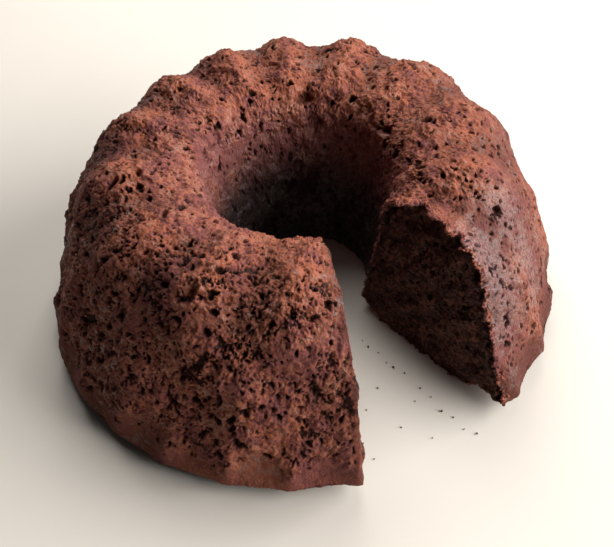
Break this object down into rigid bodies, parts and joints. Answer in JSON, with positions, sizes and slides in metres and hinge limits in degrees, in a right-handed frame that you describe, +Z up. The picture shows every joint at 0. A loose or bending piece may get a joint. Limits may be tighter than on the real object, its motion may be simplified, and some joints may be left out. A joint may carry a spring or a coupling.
{
  "type": "bundt cake",
  "caption": "Chocolate yogurt cake baked in a fluted tube pan: a lobed brown ring with a pitted crust, an open centre hole and one wedge cut out.",
  "frame": {"origin": "on the axis of the ring, at the height of the table that the cake stands on", "axes": "+Z up along the ring's axis; the missing wedge opens towards -Y, turned a little towards +X"},
  "size_m": [0.2446, 0.2394, 0.0942],
  "materials": {
    "chocolate_crumb": "matte cocoa-brown crust and crumb"
  },
  "bodies": {
    "root": {"cake": "chocolate_crumb"}
  },
  "joints": []
}
